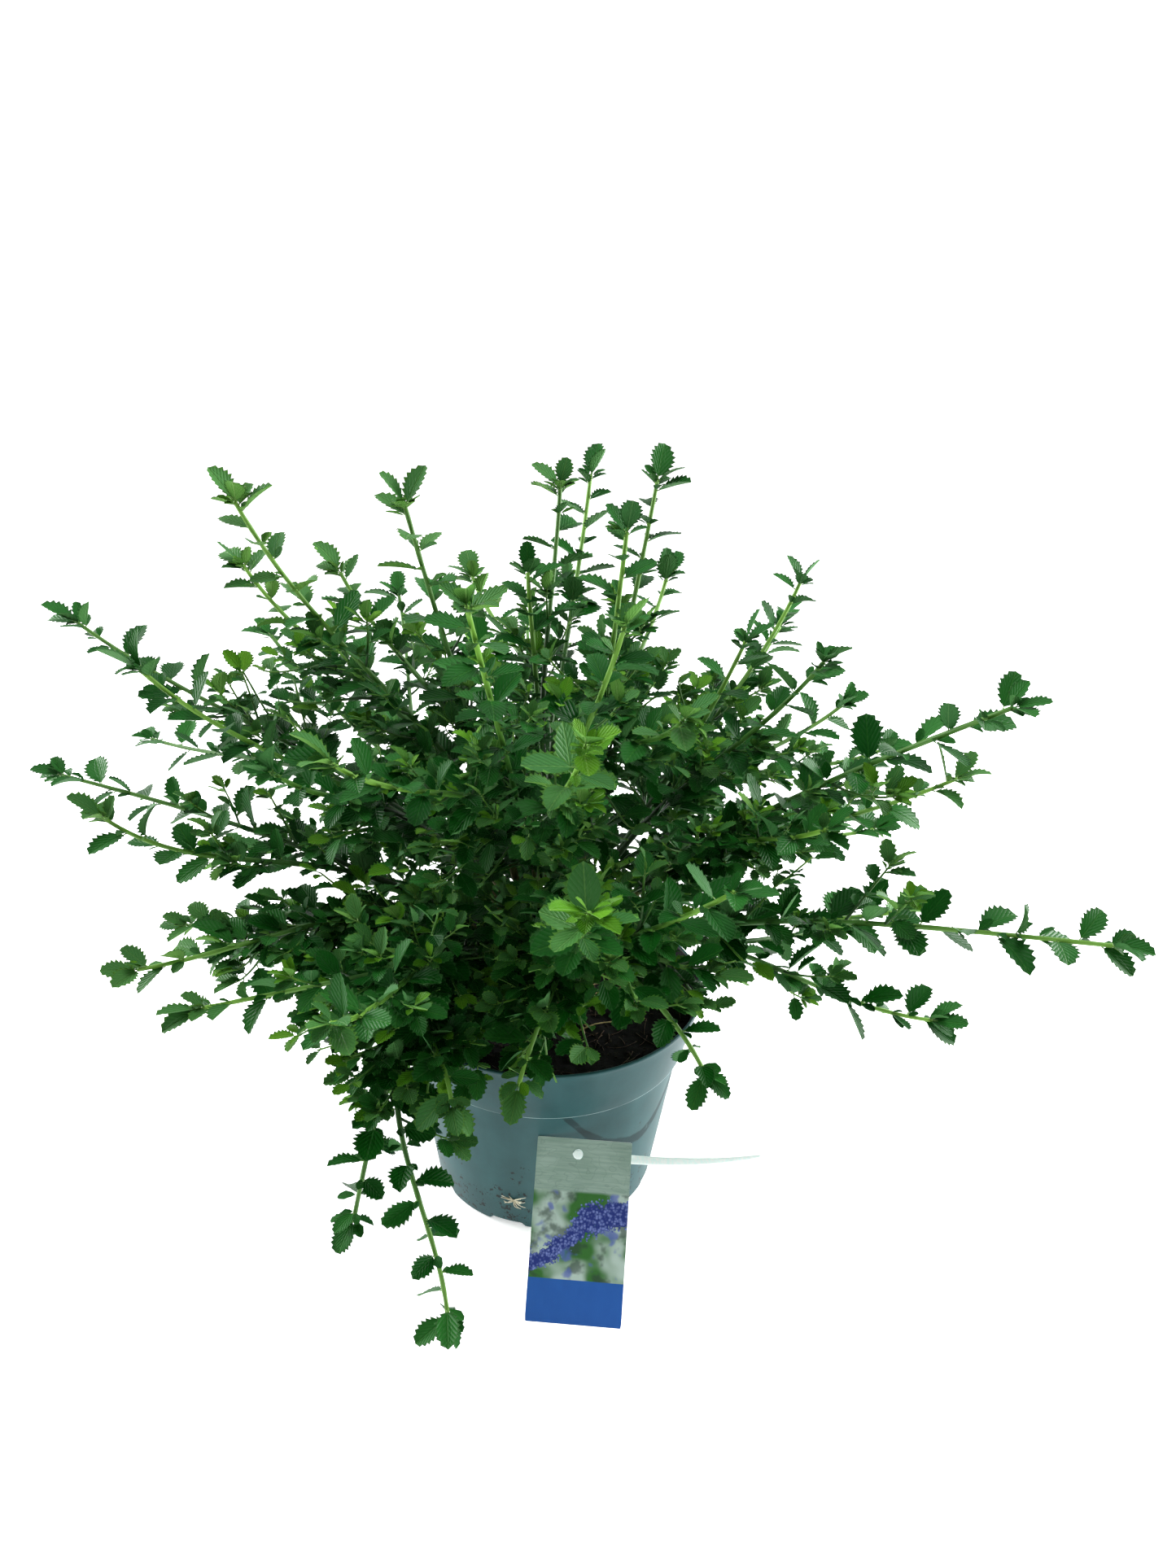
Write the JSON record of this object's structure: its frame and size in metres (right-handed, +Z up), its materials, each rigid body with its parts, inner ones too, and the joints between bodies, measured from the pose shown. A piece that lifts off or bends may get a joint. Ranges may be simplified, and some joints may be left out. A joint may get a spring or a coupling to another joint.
{
  "type": "potted california lilac",
  "caption": "Spreading evergreen shrub of long leafy shoots in a round tapered nursery pot, with a plain picture label leaning on it.",
  "frame": {"origin": "centre of the pot's flat underside", "axes": "+Z up the pot and plant, -Y towards the side that the label leans on"},
  "size_m": [0.5782, 0.4905, 0.4525],
  "materials": {
    "pot_plastic": "blue-grey moulded plastic, slightly scuffed and splashed with soil",
    "potting_soil": "dark moist peat mix with pale fibres",
    "bark": "thin brown-green bark, lightly ridged",
    "foliage": "glossy green leaves, yellow-green at the shoot tips",
    "label_card": "smooth printed plastic card",
    "label_strap": "milky translucent plastic strip"
  },
  "bodies": {
    "root": {"pot": "pot_plastic", "soil": "potting_soil", "stem_base": "bark", "bough_front_left_low": "bark", "bough_left_low": "bark", "bough_left_high": "bark", "bough_top_left": "bark", "bough_front_high": "bark", "bough_crown": "bark", "bough_crown_right": "bark", "bough_right_high": "bark", "bough_right": "bark", "bough_right_low": "bark", "bough_front_low": "bark", "bough_back_left": "bark", "bough_back": "bark", "bough_back_right": "bark", "foliage_weeping_left": "foliage", "foliage_front_left": "foliage", "foliage_left_low": "foliage", "foliage_left": "foliage", "foliage_left_far": "foliage", "foliage_left_front": "foliage", "foliage_top_left": "foliage", "foliage_crown_left": "foliage", "foliage_front_high_left": "foliage", "foliage_front_high_right": "foliage", "foliage_crown": "foliage", "foliage_crown_back": "foliage", "foliage_crown_right": "foliage", "foliage_crown_front": "foliage", "foliage_right_high": "foliage", "foliage_right_mid": "foliage", "foliage_right": "foliage", "foliage_right_front": "foliage", "foliage_right_low": "foliage", "foliage_right_front_low": "foliage", "foliage_front_right": "foliage", "foliage_front": "foliage", "foliage_back_left_low": "foliage", "foliage_back_left": "foliage", "foliage_back_low": "foliage", "foliage_back": "foliage", "foliage_back_right_low": "foliage", "foliage_back_right": "foliage", "label_card": "label_card", "label_strap": "label_strap"}
  },
  "joints": []
}
